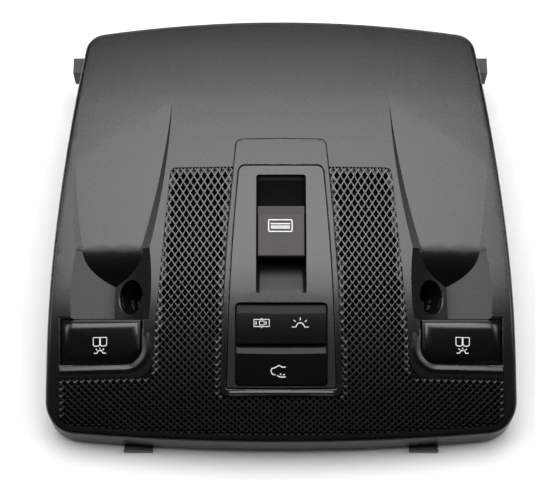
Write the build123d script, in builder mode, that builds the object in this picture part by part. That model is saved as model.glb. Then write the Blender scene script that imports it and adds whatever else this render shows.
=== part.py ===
from build123d import *
import math
import os

# Overhead dome light unit of a car, lying on its back with its face up. Sizes in millimetres.
# X runs to the right, Y to the rear of the face and Z out of the face. The back lies at Z = 0.

# Face: side profile, crown across, outline in plan and shell
panel_front_y = -96.5
panel_length = 210.0
front_height = 20.8
front_slope = 22.0
front_flat = 38.7
shoulder_radius = 185.0
shoulder_slope = 5.0
rear_radius = 836.0
crown_radius = 1000.0
front_half_width = 112.6
rear_half_width = 97.0
front_bow = 6.5
rear_bow = 6.0
side_bow = 3.6
front_corner_radius = 15.0
rear_corner_radius = 10.0
edge_radius = 2.5
wall = 3.0
skin_lap = 1.0
smallest_radius = 0.3
skirt_height = 14.0

# Centre frame and the plate in it
frame_rise = 1.6
frame_front_gap = 20.0
frame_length = 123.5
frame_rear_half_width = 22.0
frame_front_half_width = 28.9
frame_bow = 1.2
frame_end_bow = 0.4
frame_corner_radius = 3.5
frame_edge_radius = 0.8
frame_border = 3.0
plate_setback = 14.6
plate_thickness = 2.0
plate_drop = 0.3
plate_ledge = 1.6
plate_lip = 1.6
plate_corner_radius = 3.0
fit_gap = 0.25
seat_gap = 0.1

# Roof switch: slot, trough, cap and pivot
slot_half_width = 12.0
slot_setback = 4.8
slot_length = 58.6
slot_corner_radius = 1.2
trough_depth = 13.0
trough_skin = 1.5
trough_wall = 1.8
cap_half_width = 11.1
cap_length = 25.7
cap_setback = 15.7
cap_rise = 1.0
cap_bevel_run = 5.0
cap_bevel_drop = 2.4
cap_thickness = 8.5
cap_lean = 2.0
cap_edge_radius = 0.6
pivot_depth = 19.5
pivot_radius = 1.5
stem_half_width = 6.0
stem_half_length = 4.5
stem_gap = 0.5
lever_half_length = 10.0
lever_half_width = 3.0
lever_thickness = 2.5
lever_room = 2.0
ear_thickness = 2.6
ear_half_length = 3.6
running_gap = 0.06
rocker_swing = 8.0

# Buttons: the sloping deck that they press on, caps, travel and guides
deck_slope = 20.0
centre_button_half_width = 21.1
centre_button_length = 18.6
centre_gap = 0.8
side_button_width = 38.0
side_button_length = 20.8
side_button_margin = 8.1
side_button_shift = 2.0
side_button_inner_radius = 7.5
side_button_outer_radius = 4.5
button_small_radius = 1.5
button_rise = 0.5
button_bevel_run = 2.2
button_bevel_slope = 30.0
button_gap = 0.4
opening_edge_radius = 1.2
cap_slab = 3.0
stop_room = 1.8
skirt_inset = 1.5
guide_gap = 0.3
guide_height = 3.2
guide_wall = 1.2
cap_hollow_wall = 1.6
post_radius = 2.0
divider_half_width = 1.2
centre_guide_front = 3.4
centre_guide_rear = 5.3
rocker_play = 0.8
rocker_pin_radius = 1.25
rocker_rib_half_width = 2.8
rocker_foot_x = 12.0
rocker_foot_room = 1.0

# Key board under the buttons, with its switches and lights
key_board_depth = 15.0
key_board_half_width = 97.0
key_board_front = 24.0
key_board_rear = 14.0
key_board_side_rear = 5.0
key_board_middle_half_width = 48.0
board_thickness = 1.6
switch_size = 6.0
switch_height = 3.4
switch_well_depth = 3.0
plunger_radius = 1.65
plunger_gap = 0.3
plunger_rise = 1.2
plunger_sink = 1.4
led_length = 2.0
led_width = 1.2
led_height = 0.8
led_offset = 6.5
key_boss_x = 44.0
key_boss_front = -18.0
key_boss_rear = 9.0

# Side scoops and reading lamps
scoop_rear_y = 68.0
scoop_wall_rear_x = 53.6
roll_y = -8.0
roll_slope = 64.0
roll_radius = 22.0
terrace_pitch = 1.72
terrace_roll = 1.15
terrace_depth = 2.2
terrace_wall_run = 4.8
terrace_backing = 2.0
wall_top_margin = 3.6
wall_run = 17.0
pocket_depth = 13.0
cheek_margin = 12.3
crease_margin = 14.1
crease_slope = 22.0
lamp_y = -29.3
lamp_shift = 0.8
lamp_half_length = 8.0
lamp_half_width = 7.2
lamp_edge_radius = 0.8
barrel_wall = 0.8
barrel_length = 13.0
lens_setback = 5.0
lens_thickness = 2.0
lens_gap = 0.1
lamp_board_thickness = 1.2
lamp_led_size = 3.0
lamp_led_height = 0.8

# Grille insert
grille_recess = 1.7
grille_thickness = 1.4
grille_sink = 0.2
grille_front_border = 3.0
grille_band_width = 29.2
grille_side_border = 6.5
grille_strip = 1.4
grille_corner_radius = 3.0
grille_margin = 3.6
grille_cell_length = 7.4
grille_cell_width = 4.6
grille_pitch_x = 11.5
grille_pitch_y = 7.6

# Main board and what stands on it
main_board_top = 20.0
main_board_half_width = 50.0
main_board_front_y = -34.0
main_board_rear_y = 96.0
main_boss_x = 42.0
main_boss_front_y = -12.0
main_boss_rear_y = 78.0
boss_radius = 3.5
pilot_radius = 1.55
pilot_depth = 9.0
screw_radius = 1.5
screw_head_radius = 3.0
screw_head_height = 2.2
screw_room = 1.0

# Microphones behind the grille columns
microphone_x = 40.0
microphone_y = 10.0
microphone_depth = 9.0
microphone_radius = 3.0
microphone_height = 3.0
boot_radius = 5.0
boot_height = 4.5
port_radius = 1.5

# Rear housing, its posts, tabs and clips
housing_gap = 0.4
housing_wall = 2.2
housing_lap = 3.0
rear_post_x = 80.0
rear_post_y = 86.0
rear_seat = 20.0
front_post_x = 92.0
front_post_margin = 17.5
front_seat = 9.0
tower_radius = 5.0
tower_roof = 3.0
tab_setback = 11.0
tab_length = 8.5
tab_height = 12.0
tab_reach = 9.0
tab_gap = 0.6
clip_x = 69.0
clip_half_width = 7.0
clip_thickness = 0.8
clip_seat_margin = 5.0
clip_reach = 5.0
clip_floor = 0.4
clip_height = 4.6
clip_nose_height = 3.0

# Electronics and the harness socket
chip_x = 25.0
chip_y = 45.0
chip_size = 12.0
chip_height = 1.6
capacitor_radius = 4.0
capacitor_height = 10.0
capacitor_pitch = 11.0
coil_setback = 20.0
coil_height = 5.0
socket_half_width = 15.0
socket_height = 12.0
socket_wall = 1.6
socket_seat = 10.0
socket_back = 6.0
pin_pitch = 4.0
pin_columns = 6
pin_size = 0.8
pin_length = 7.0

front_rad = math.radians(front_slope)
shoulder_rad = math.radians(shoulder_slope)
deck_rad = math.radians(deck_slope)
panel_rear_y = panel_front_y + panel_length
clear = 40.0


def on_arc(centre, radius, slope):
    """Point of an arc in side view where the face rises to the rear by that slope."""
    return (centre[0] - radius * math.sin(slope), centre[1] + radius * math.cos(slope))


flat_end = (panel_front_y + front_flat, front_height + front_flat * math.tan(front_rad))
shoulder_centre = on_arc(flat_end, -shoulder_radius, front_rad)
shoulder_end = on_arc(shoulder_centre, shoulder_radius, shoulder_rad)
rear_centre = on_arc(shoulder_end, -rear_radius, shoulder_rad)


def face_height(x, y):
    """Height of the face over the back at one place of the plan."""
    if y < flat_end[0]:
        middle = flat_end[1] + (y - flat_end[0]) * math.tan(front_rad)
    elif y < shoulder_end[0]:
        middle = shoulder_centre[1] + math.sqrt(shoulder_radius**2 - (y - shoulder_centre[0]) ** 2)
    else:
        middle = rear_centre[1] + math.sqrt(rear_radius**2 - (y - rear_centre[0]) ** 2)
    return math.sqrt((crown_radius + middle) ** 2 - x**2) - crown_radius


def on_face(x, y, drop=0.0):
    """Point below the face by a drop, at one place of the plan."""
    return Vector(x, y, face_height(x, y) - drop)


def plane_through(a, b, c):
    """Plane through three points, facing up."""
    normal = (b - a).cross(c - a).normalized()
    if normal.Z < 0:
        normal = normal * -1
    return Plane(origin=a, x_dir=b - a, z_dir=normal)


def face_body(radius, slope, run):
    """Wide solid under the crowned face, whose front turns down with a radius to a slope."""
    half_turn = math.asin((front_half_width + clear) / crown_radius)
    start = Plane(
        origin=(0, 0, -crown_radius),
        x_dir=(0, 1, 0),
        z_dir=(math.cos(half_turn), 0, math.sin(half_turn)),
    )
    turn_centre = on_arc(shoulder_end, -radius, shoulder_rad)
    turn_mid = on_arc(turn_centre, radius, (slope + shoulder_rad) / 2)
    turn_end = on_arc(turn_centre, radius, slope)
    front = (turn_end[0] - run, turn_end[1] - run * math.tan(slope))
    rear_y = panel_rear_y + clear
    rear_slope = math.asin((rear_centre[0] - rear_y) / rear_radius)
    rear = on_arc(rear_centre, rear_radius, rear_slope)
    rear_mid = on_arc(rear_centre, rear_radius, (shoulder_rad + rear_slope) / 2)

    def lifted(point):
        return (point[0], point[1] + crown_radius)

    floor = -2 * clear
    with BuildPart(mode=Mode.PRIVATE) as body:
        with BuildSketch(start):
            with BuildLine():
                Line(lifted(front), lifted(turn_end))
                ThreePointArc(lifted(turn_end), lifted(turn_mid), lifted(shoulder_end))
                ThreePointArc(lifted(shoulder_end), lifted(rear_mid), lifted(rear))
                Polyline(
                    lifted(rear), lifted((rear[0], floor)), lifted((front[0], floor)), lifted(front)
                )
            make_face()
        revolve(
            axis=Axis((0, 0, -crown_radius), (0, 1, 0)),
            revolution_arc=math.degrees(2 * half_turn),
        )
    return body.part


class Bow:
    """Edge of a plan: an arc that bows out between two corners, drawn in by an inset."""

    def __init__(self, start, end, height, inset):
        chord = Vector(*end) - Vector(*start)
        outward = Vector(-chord.Y, chord.X).normalized()
        radius = (chord.length**2 / 4 + height**2) / (2 * height)
        self.centre = Vector(*start) + chord * 0.5 - outward * (radius - height)
        self.radius = radius - inset
        self.middle = self.centre + outward * self.radius

    def meets(self, other):
        """Corner where this arc crosses another one."""
        between = other.centre - self.centre
        along = (self.radius**2 - other.radius**2 + between.length**2) / (2 * between.length)
        aside = math.sqrt(self.radius**2 - along**2)
        ahead = between.normalized()
        return self.centre + ahead * along + Vector(ahead.Y, -ahead.X) * aside


def bowed_plan(rear, front, bows, inset, radii):
    """Plan with four bowed edges, the same on both sides, and round corners."""
    rear_bowed, side_bowed, front_bowed = bows
    rear_edge = Bow((-rear[0], rear[1]), rear, rear_bowed, inset)
    right_edge = Bow(rear, front, side_bowed, inset)
    front_edge = Bow(front, (-front[0], front[1]), front_bowed, inset)
    rear_corner = rear_edge.meets(right_edge)
    front_corner = right_edge.meets(front_edge)

    def other_side(point):
        return Vector(-point.X, point.Y)

    with BuildSketch(mode=Mode.PRIVATE) as plan:
        with BuildLine():
            ThreePointArc(other_side(rear_corner), rear_edge.middle, rear_corner)
            ThreePointArc(rear_corner, right_edge.middle, front_corner)
            ThreePointArc(front_corner, front_edge.middle, other_side(front_corner))
            ThreePointArc(other_side(front_corner), other_side(right_edge.middle), other_side(rear_corner))
        make_face()
        fillet(plan.vertices().group_by(Axis.Y)[-1], max(radii[0] - inset, smallest_radius))
        fillet(plan.vertices().group_by(Axis.Y)[0], max(radii[1] - inset, smallest_radius))
    return plan.sketch


def panel_outline(inset):
    """Plan of the panel, drawn in by an inset."""
    return bowed_plan(
        (rear_half_width, panel_rear_y - rear_bow),
        (front_half_width, panel_front_y + front_bow),
        (rear_bow, side_bow, front_bow),
        inset,
        (rear_corner_radius, front_corner_radius),
    )


wide_face = face_body(shoulder_radius, front_rad, front_flat + clear)


def lowered(drop):
    """Wide solid under the face, lowered by a drop."""
    return wide_face.moved(Location((0, 0, -drop)))


def under_face(drop, inset):
    """Solid under the face lowered by a drop, inside the outline drawn in by an inset."""
    with BuildPart(mode=Mode.PRIVATE) as block:
        extrude(panel_outline(inset), amount=2 * clear, both=True)
        add(lowered(drop), mode=Mode.INTERSECT)
    return block.part


def tall(sketch):
    """Upright prism over a plan, far past the part both ways."""
    with BuildPart(mode=Mode.PRIVATE) as prism:
        extrude(sketch, amount=2 * clear, both=True)
    return prism.part


def layer(sketch, top, bottom):
    """Skin that follows the face inside a plan, between two drops."""
    with BuildPart(mode=Mode.PRIVATE) as skin:
        extrude(sketch, amount=2 * clear, both=True)
        add(lowered(top), mode=Mode.INTERSECT)
        add(lowered(bottom), mode=Mode.SUBTRACT)
    return skin.part


def above(sketch, drop):
    """Everything over a plan that lies higher than the face lowered by a drop."""
    with BuildPart(mode=Mode.PRIVATE) as space:
        extrude(sketch, amount=2 * clear, both=True)
        add(lowered(drop), mode=Mode.SUBTRACT)
    return space.part


def column(plane, sketch, low, high):
    """Prism on a sloping plane between two heights over it."""
    with BuildPart(mode=Mode.PRIVATE) as prism:
        with BuildSketch(plane.offset(low)):
            add(sketch)
        extrude(amount=high - low)
    return prism.part


def mirrored(solid):
    """The same solid on the other side of the part."""
    return mirror(solid, about=Plane.YZ, mode=Mode.PRIVATE)


def disc(radius):
    """Round plan."""
    with BuildSketch(mode=Mode.PRIVATE) as plan:
        Circle(radius)
    return plan.sketch


def discs(places, radius):
    """Round plans at several places."""
    with BuildSketch(mode=Mode.PRIVATE) as plan:
        with Locations(*places):
            Circle(radius)
    return plan.sketch


# Places that follow from the driving sizes
frame_front_y = panel_front_y + frame_front_gap
frame_rear_y = frame_front_y + frame_length
plate_rear_y = frame_rear_y - plate_setback
plate_top = plate_drop - frame_rise
plate_bottom = plate_top + plate_thickness
slot_rear_y = plate_rear_y - slot_setback
slot_front_y = slot_rear_y - slot_length
deck_y = frame_front_y + frame_border + plate_lip + (centre_button_length + centre_gap) * math.cos(deck_rad)
deck_normal = Vector(0, -math.sin(deck_rad), math.cos(deck_rad))
deck = Plane(origin=on_face(0, deck_y), x_dir=(1, 0, 0), z_dir=deck_normal)
side_button_x = front_half_width - side_button_margin - side_button_width / 2
side_button_y = deck_y + side_button_shift
side_deck = Plane(origin=on_face(side_button_x, side_button_y), x_dir=(1, 0, 0), z_dir=deck_normal)
board_plane = deck.offset(-key_board_depth)
side_board_depth = (side_deck.origin - board_plane.origin).dot(deck_normal)
stop_depth = cap_slab + stop_room
guide_depth = stop_depth + guide_height


def frame_plan(inset):
    """Plan of the tapered centre frame, drawn in by an inset."""
    return bowed_plan(
        (frame_rear_half_width, frame_rear_y - frame_end_bow),
        (frame_front_half_width, frame_front_y + frame_end_bow),
        (frame_end_bow, frame_bow, frame_end_bow),
        inset,
        (frame_corner_radius, frame_corner_radius),
    )


def plate_plan(inset):
    """Plan of the switch plate: the frame drawn in by its border and cut off at the rear."""
    with BuildSketch(mode=Mode.PRIVATE) as plan:
        add(frame_plan(frame_border + inset))
        with Locations((0, plate_rear_y - inset + clear)):
            Rectangle(4 * clear, 2 * clear, mode=Mode.SUBTRACT)
        fillet(plan.vertices().group_by(Axis.Y)[-1], plate_corner_radius)
    return plan.sketch


def slot_plan(margin):
    """Plan of the roof switch slot, grown by a margin."""
    with BuildSketch(mode=Mode.PRIVATE) as plan:
        with Locations((0, (slot_rear_y + slot_front_y) / 2)):
            RectangleRounded(
                2 * (slot_half_width + margin), slot_length + 2 * margin, slot_corner_radius + margin
            )
    return plan.sketch


def centre_plan(margin):
    """Plan on the deck of the opening for the two centre buttons, grown by a margin."""
    with BuildSketch(mode=Mode.PRIVATE) as plan:
        RectangleRounded(
            2 * (centre_button_half_width + centre_gap + margin),
            2 * (centre_button_length + 1.5 * centre_gap + margin),
            button_small_radius + centre_gap + margin,
        )
    return plan.sketch


def side_plan(margin):
    """Plan on its deck of the right reading button, grown by a margin."""
    with BuildSketch(mode=Mode.PRIVATE) as plan:
        Rectangle(side_button_width + 2 * margin, side_button_length + 2 * margin)
        rear = plan.vertices().group_by(Axis.Y)[-1].sort_by(Axis.X)
        front = plan.vertices().group_by(Axis.Y)[0].sort_by(Axis.X)
        fillet(front[0], side_button_inner_radius + margin)
        fillet(rear[1], side_button_outer_radius + margin)
        fillet([front[1], rear[0]], max(button_small_radius + margin, smallest_radius))
    return plan.sketch


os.makedirs("parts", exist_ok=True)

# Scoop beside the grille: a shallow terrace that rolls off into a pocket with the lamp in its inner wall
wall_top_x = side_button_x - side_button_width / 2 - wall_top_margin
pocket_front = side_deck.origin + side_deck.y_dir * (side_button_length / 2 + button_gap)
pocket_mid_y = (roll_y + pocket_front.Y) / 2
cheek_x = front_half_width - cheek_margin
crease_x = front_half_width - crease_margin
wall_foot_x = wall_top_x + wall_run
wall_plane = plane_through(
    on_face(wall_top_x, roll_y),
    on_face(wall_top_x, pocket_front.Y),
    on_face(wall_foot_x, pocket_mid_y, pocket_depth),
)
cheek_plane = plane_through(
    on_face(wall_foot_x, roll_y - pocket_depth, pocket_depth),
    on_face(wall_foot_x, pocket_front.Y, pocket_depth),
    on_face(cheek_x, pocket_mid_y),
)
front_stop = Plane(origin=pocket_front, x_dir=(1, 0, 0), z_dir=side_deck.y_dir)
terrace_wall = plane_through(
    on_face(scoop_wall_rear_x, scoop_rear_y),
    on_face(wall_top_x, roll_y),
    on_face(wall_top_x + terrace_wall_run, roll_y, terrace_depth),
)
crease_plane = plane_through(
    on_face(crease_x, scoop_rear_y),
    on_face(crease_x, roll_y),
    on_face(crease_x - clear, roll_y, clear * math.tan(math.radians(crease_slope))),
)
terrace_front = Plane(origin=(0, roll_y - terrace_depth, 0), x_dir=(1, 0, 0), z_dir=(0, 1, 0))
pocket_rear = Plane(origin=(0, roll_y, 0), x_dir=(1, 0, 0), z_dir=(0, -1, 0))


def wedge(planes):
    """Space above several planes over the right half of the face."""
    with BuildPart(mode=Mode.PRIVATE) as space:
        with Locations((front_half_width, 0, clear)):
            Box(2 * front_half_width, 2 * panel_length, 2 * clear)
        for plane in planes:
            split(bisect_by=plane, keep=Keep.TOP)
    return space.part


terrace_turn_x = Axis(on_face(scoop_wall_rear_x, scoop_rear_y), (1, 0, 0))
terrace_turn_y = Axis(on_face(scoop_wall_rear_x, scoop_rear_y), (0, 1, 0))


def rolled_body(radius, drop):
    """Wide solid under the terrace, lowered by a drop, which sinks to the front and turns down."""
    body = face_body(radius, math.radians(roll_slope), clear).moved(Location((0, 0, -drop)))
    return body.rotate(terrace_turn_x, terrace_pitch).rotate(terrace_turn_y, -terrace_roll)


pocket_planes = [wall_plane, cheek_plane, front_stop, pocket_rear]
with BuildPart() as pocket:
    add(wedge(pocket_planes))
    add(rolled_body(roll_radius, 0), mode=Mode.SUBTRACT)
with BuildPart() as pocket_skin:
    add(wedge([plane.offset(-wall) for plane in pocket_planes]))
    add(rolled_body(roll_radius - wall, wall), mode=Mode.SUBTRACT)
    add(under_face(wall - skin_lap, wall / 2), mode=Mode.INTERSECT)
with BuildPart() as terrace:
    add(wedge([terrace_wall, crease_plane, terrace_front]))
    add(rolled_body(roll_radius, 0), mode=Mode.SUBTRACT)
with BuildPart() as terrace_skin:
    add(wedge([terrace_wall.offset(-wall), crease_plane.offset(-wall), terrace_front.offset(wall)]))
    add(under_face(wall - skin_lap, wall / 2), mode=Mode.INTERSECT)
    add(lowered(wall + terrace_backing), mode=Mode.SUBTRACT)

# Lamp in the inner wall of the pocket
lamp_x = wall_top_x + wall_run / 2 + lamp_shift
lamp_step = Vector(lamp_x, lamp_y, wall_plane.origin.Z) - wall_plane.origin
lamp_plane = Plane(
    origin=(lamp_x, lamp_y, wall_plane.origin.Z - lamp_step.dot(wall_plane.z_dir) / wall_plane.z_dir.Z),
    x_dir=wall_plane.x_dir,
    z_dir=wall_plane.z_dir,
)


def lamp_plan(margin):
    """Oval plan of the lamp hole, grown by a margin."""
    with BuildSketch(mode=Mode.PRIVATE) as plan:
        Ellipse(lamp_half_length + margin, lamp_half_width + margin)
    return plan.sketch


def grille_plan(inset):
    """Plan of the grille: two columns beside the frame, joined by a band along the front edge."""
    top = (scoop_wall_rear_x, grille_rear_y)
    waist = (wall_top_x - grille_strip, grille_band_y)
    end = (front_half_width - grille_side_border, grille_band_y)
    far = panel_front_y - clear
    right = [top, waist, end, (end[0], far)]
    left = [(-x, y) for x, y in reversed(right)]
    with BuildSketch(mode=Mode.PRIVATE) as plan:
        with BuildLine():
            Polyline(*right, *left, close=True)
        make_face()
        if inset:
            offset(amount=-inset, kind=Kind.INTERSECTION)
        rows = plan.vertices().group_by(Axis.Y)
        band = rows[1].sort_by(Axis.X)
        outer_radius = max(grille_corner_radius - inset, smallest_radius)
        fillet(band[1:3], side_button_inner_radius + inset)
        fillet([band[0], band[3]], outer_radius)
        fillet(plan.vertices().group_by(Axis.Y)[-1], outer_radius)
        add(panel_outline(grille_front_border + inset), mode=Mode.INTERSECT)
        add(frame_plan(-inset), mode=Mode.SUBTRACT)
    return plan.sketch


def bosses(plane, places, radius):
    """Bosses that reach from a plane up into the shell."""
    with BuildPart(mode=Mode.PRIVATE) as group:
        with BuildSketch(plane):
            add(discs(places, radius))
        extrude(amount=2 * clear)
        add(lowered(wall - skin_lap), mode=Mode.INTERSECT)
    return group.part


def corners_at(x, low, high):
    """Four places, mirrored in X, at two distances along the second axis."""
    return [(-x, low), (x, low), (-x, high), (x, high)]


grille_rear_y = plate_rear_y
grille_band_y = panel_front_y + grille_band_width
key_boss_places = corners_at(key_boss_x, key_boss_front, key_boss_rear)
main_boss_places = corners_at(main_boss_x, main_boss_front_y, main_boss_rear_y)
main_plane = Plane.XY.offset(main_board_top)
rear_posts = [(-rear_post_x, rear_post_y), (rear_post_x, rear_post_y)]
front_post_y = panel_front_y + front_post_margin
front_posts = [(-front_post_x, front_post_y), (front_post_x, front_post_y)]
microphones = [(-microphone_x, microphone_y), (microphone_x, microphone_y)]
microphone_seat = face_height(microphone_x, microphone_y) - microphone_depth
microphone_plane = Plane.XY.offset(microphone_seat)
right_guide = column(side_deck, side_plan(button_gap + guide_wall), -guide_depth, clear)
right_opening = column(side_deck, side_plan(button_gap), -stop_depth, clear)
right_guide_hole = column(side_deck, side_plan(guide_gap - skirt_inset), -clear, clear)
right_lamp_hole = column(lamp_plane, lamp_plan(0), -2 * wall, 2 * wall)


def on_rim(edge):
    """True for an edge of the face that runs along the outline."""
    middle = edge @ 0.5
    at_face = abs(middle.Z - face_height(middle.X, middle.Y)) < fit_gap
    return at_face and (abs(middle.X) > clear or abs(middle.Y) > 2 * clear)


def over_face(edge):
    """Height of an edge's middle over the face."""
    middle = edge @ 0.5
    return middle.Z - face_height(middle.X, middle.Y)


def on_lamp_hole(edge):
    """True for the visible edge of a lamp hole."""
    middle = edge @ 0.5
    place = lamp_plane.to_local_coords(Vector(abs(middle.X), middle.Y, middle.Z))
    reach = math.hypot(place.X / lamp_half_length, place.Y / lamp_half_width)
    return abs(place.Z) < seat_gap / 2 and abs(reach - 1) < seat_gap / 2


def on_frame_top(edge):
    """True for an edge on the raised top of the centre frame."""
    return abs(over_face(edge) - frame_rise) < seat_gap / 2


def on_side_opening(edge):
    """True for an edge of the face round the opening of a reading button."""
    middle = edge @ 0.5
    place = side_deck.to_local_coords(Vector(abs(middle.X), middle.Y, middle.Z))
    beside = abs(place.X) < side_button_width / 2 + button_gap + seat_gap
    along = abs(place.Y) < side_button_length / 2 + button_gap + seat_gap
    return beside and along and abs(over_face(edge)) < seat_gap / 2


# Front bezel: one moulded shell with the frame, scoops, openings, guides and bosses
with BuildPart() as side_guide:
    add(right_guide)
    add(lowered(wall - skin_lap), mode=Mode.INTERSECT)
with BuildPart() as front_bezel:
    add(under_face(0, 0))
    fillet(front_bezel.edges().filter_by(on_rim), edge_radius)
    add(under_face(wall, wall), mode=Mode.SUBTRACT)
    add(under_face(skirt_height, -wall), mode=Mode.SUBTRACT)
    add(layer(frame_plan(0), -frame_rise, wall))
    for skin in (pocket_skin.part, terrace_skin.part, side_guide.part):
        add(skin)
        add(mirrored(skin))
    add(bosses(board_plane, key_boss_places, boss_radius))
    add(bosses(main_plane, main_boss_places, boss_radius))
    add(bosses(Plane.XY.offset(rear_seat), rear_posts, boss_radius))
    add(bosses(Plane.XY.offset(front_seat), front_posts, boss_radius))
    add(bosses(microphone_plane, microphones, boot_radius + guide_wall))
    for space in (pocket.part, terrace.part, right_opening, right_guide_hole, right_lamp_hole):
        add(space, mode=Mode.SUBTRACT)
        add(mirrored(space), mode=Mode.SUBTRACT)
    add(above(grille_plan(0), grille_recess), mode=Mode.SUBTRACT)
    add(above(plate_plan(0), plate_bottom + seat_gap), mode=Mode.SUBTRACT)
    add(tall(plate_plan(plate_ledge)), mode=Mode.SUBTRACT)
    add(column(board_plane, discs(key_boss_places, pilot_radius), 0, pilot_depth), mode=Mode.SUBTRACT)
    add(column(main_plane, discs(main_boss_places, pilot_radius), 0, pilot_depth), mode=Mode.SUBTRACT)
    for places, seat in ((rear_posts, rear_seat), (front_posts, front_seat)):
        pilots = column(Plane.XY, discs(places, pilot_radius), seat, seat + pilot_depth)
        add(pilots, mode=Mode.SUBTRACT)
    add(column(microphone_plane, discs(microphones, port_radius), 0, clear), mode=Mode.SUBTRACT)
    fillet(front_bezel.edges().filter_by(on_lamp_hole), lamp_edge_radius)
    fillet(front_bezel.edges().filter_by(on_frame_top), frame_edge_radius)
    fillet(front_bezel.edges().filter_by(on_side_opening), opening_edge_radius)
front_bezel.part.label = "front_bezel"
export_step(front_bezel.part, "parts/front_bezel.step")

# Grille insert: a thin moulding that follows the face, with staggered diamond holes
grille_ground = grille_plan(fit_gap + grille_margin).faces()
grille_rows = int(panel_length / grille_pitch_y)
grille_columns = int(front_half_width / grille_pitch_x)
grille_cells = []
for row in range(grille_rows):
    for step in range(-grille_columns, grille_columns + 1):
        cell = Vector((step + 0.5 * (row % 2)) * grille_pitch_x, panel_front_y + (row + 0.5) * grille_pitch_y)
        if any(ground.is_inside(cell) for ground in grille_ground):
            grille_cells.append(cell)
with BuildSketch() as cell_plan:
    with Locations(*grille_cells):
        Polygon(
            (-grille_cell_length / 2, 0),
            (0, -grille_cell_width / 2),
            (grille_cell_length / 2, 0),
            (0, grille_cell_width / 2),
        )
with BuildPart() as grille_insert:
    add(layer(grille_plan(fit_gap), grille_sink, grille_sink + grille_thickness))
    add(tall(cell_plan.sketch), mode=Mode.SUBTRACT)
grille_insert.part.label = "grille_insert"
export_step(grille_insert.part, "parts/grille_insert.step")

# Switch plate: skin in the frame, with the slot and a guide tube for the two centre buttons
centre_opening = column(deck, centre_plan(0), -stop_depth, clear)
guide_half_width = centre_button_half_width + centre_gap + guide_wall
guide_front = centre_button_length + centre_gap - centre_guide_front
guide_rear = centre_button_length + centre_gap - centre_guide_rear
window_half_width = centre_button_half_width - button_gap


def deck_box(half_width, front, rear):
    """Plan on the deck between two distances from its middle, the front one taken forward."""
    with BuildSketch(mode=Mode.PRIVATE) as plan:
        with Locations((0, (rear - front) / 2)):
            Rectangle(2 * half_width, rear + front)
    return plan.sketch


guide_plan = deck_box(guide_half_width, guide_front + guide_wall, guide_rear + guide_wall)
rear_window = deck_box(window_half_width, -divider_half_width, guide_rear)
front_window = deck_box(window_half_width, guide_front, -divider_half_width)
rocker_pin_height = -(stop_depth + guide_height / 2)
rocker_axis = Plane(
    origin=deck.origin + deck_normal * rocker_pin_height, x_dir=(1, 0, 0), z_dir=deck.y_dir
)
with BuildPart() as switch_plate:
    add(column(deck, guide_plan, -guide_depth, clear))
    add(lowered(plate_top + plate_thickness / 2), mode=Mode.INTERSECT)
    add(layer(plate_plan(fit_gap), plate_top, plate_bottom))
    add(tall(slot_plan(0)), mode=Mode.SUBTRACT)
    add(centre_opening, mode=Mode.SUBTRACT)
    for window in (rear_window, front_window):
        add(column(deck, window, -clear, clear), mode=Mode.SUBTRACT)
    add(
        column(rocker_axis, disc(rocker_pin_radius + seat_gap / 2), -divider_half_width, clear),
        mode=Mode.SUBTRACT,
    )
switch_plate.part.label = "switch_plate"
export_step(switch_plate.part, "parts/switch_plate.step")


def bevel_plane(plane, x, rear):
    """Plane that takes the rear top edge off a button on a deck."""
    edge = plane.origin + plane.x_dir * x + plane.y_dir * (rear - button_bevel_run)
    lift = (face_height(edge.X, edge.Y) + button_rise - edge.Z) * math.cos(deck_rad)
    slope = math.radians(button_bevel_slope)
    return Plane(
        origin=edge + plane.z_dir * lift,
        x_dir=(1, 0, 0),
        z_dir=plane.z_dir * math.cos(slope) + plane.y_dir * math.sin(slope),
    )


def button_cap(plane, sketch, rise, rear):
    """Top of a button: a slab that follows the face, with its rear edge bevelled."""
    with BuildPart(mode=Mode.PRIVATE) as cap:
        add(column(plane, sketch, -cap_slab, clear))
        add(lowered(-rise), mode=Mode.INTERSECT)
        split(bisect_by=bevel_plane(plane, 0, rear), keep=Keep.BOTTOM)
    return cap.part


def hollow_skirt(plane, outer, inner):
    """Skirt under a cap that slides in its guide."""
    with BuildPart(mode=Mode.PRIVATE) as skirt:
        add(column(plane, outer, -guide_depth, -cap_slab))
        add(column(plane, inner, -guide_depth, -cap_slab), mode=Mode.SUBTRACT)
    return skirt.part


def centre_skirt(front, rear, play):
    """Skirt of a centre button in its window of the guide tube."""
    skirt_half_width = window_half_width - play
    outer = deck_box(skirt_half_width, front - play, rear - play)
    inset = play + cap_hollow_wall
    inner = deck_box(skirt_half_width - cap_hollow_wall, front - inset, rear - inset)
    return hollow_skirt(deck, outer, inner)


plunger_top = plunger_rise + switch_height
centre_rear_edge = centre_gap / 2 + centre_button_length
rocker_middle = (centre_rear_edge + centre_gap / 2) / 2


def centre_cap_plan(side):
    """Plan on the deck of a centre cap: 1 for the rear one, -1 for the front one."""
    with BuildSketch(mode=Mode.PRIVATE) as plan:
        with Locations((0, side * rocker_middle)):
            Rectangle(2 * centre_button_half_width, centre_button_length)
        fillet(plan.vertices().sort_by(Axis.Y, reverse=side > 0)[0:2], button_small_radius)
    return plan.sketch


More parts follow.
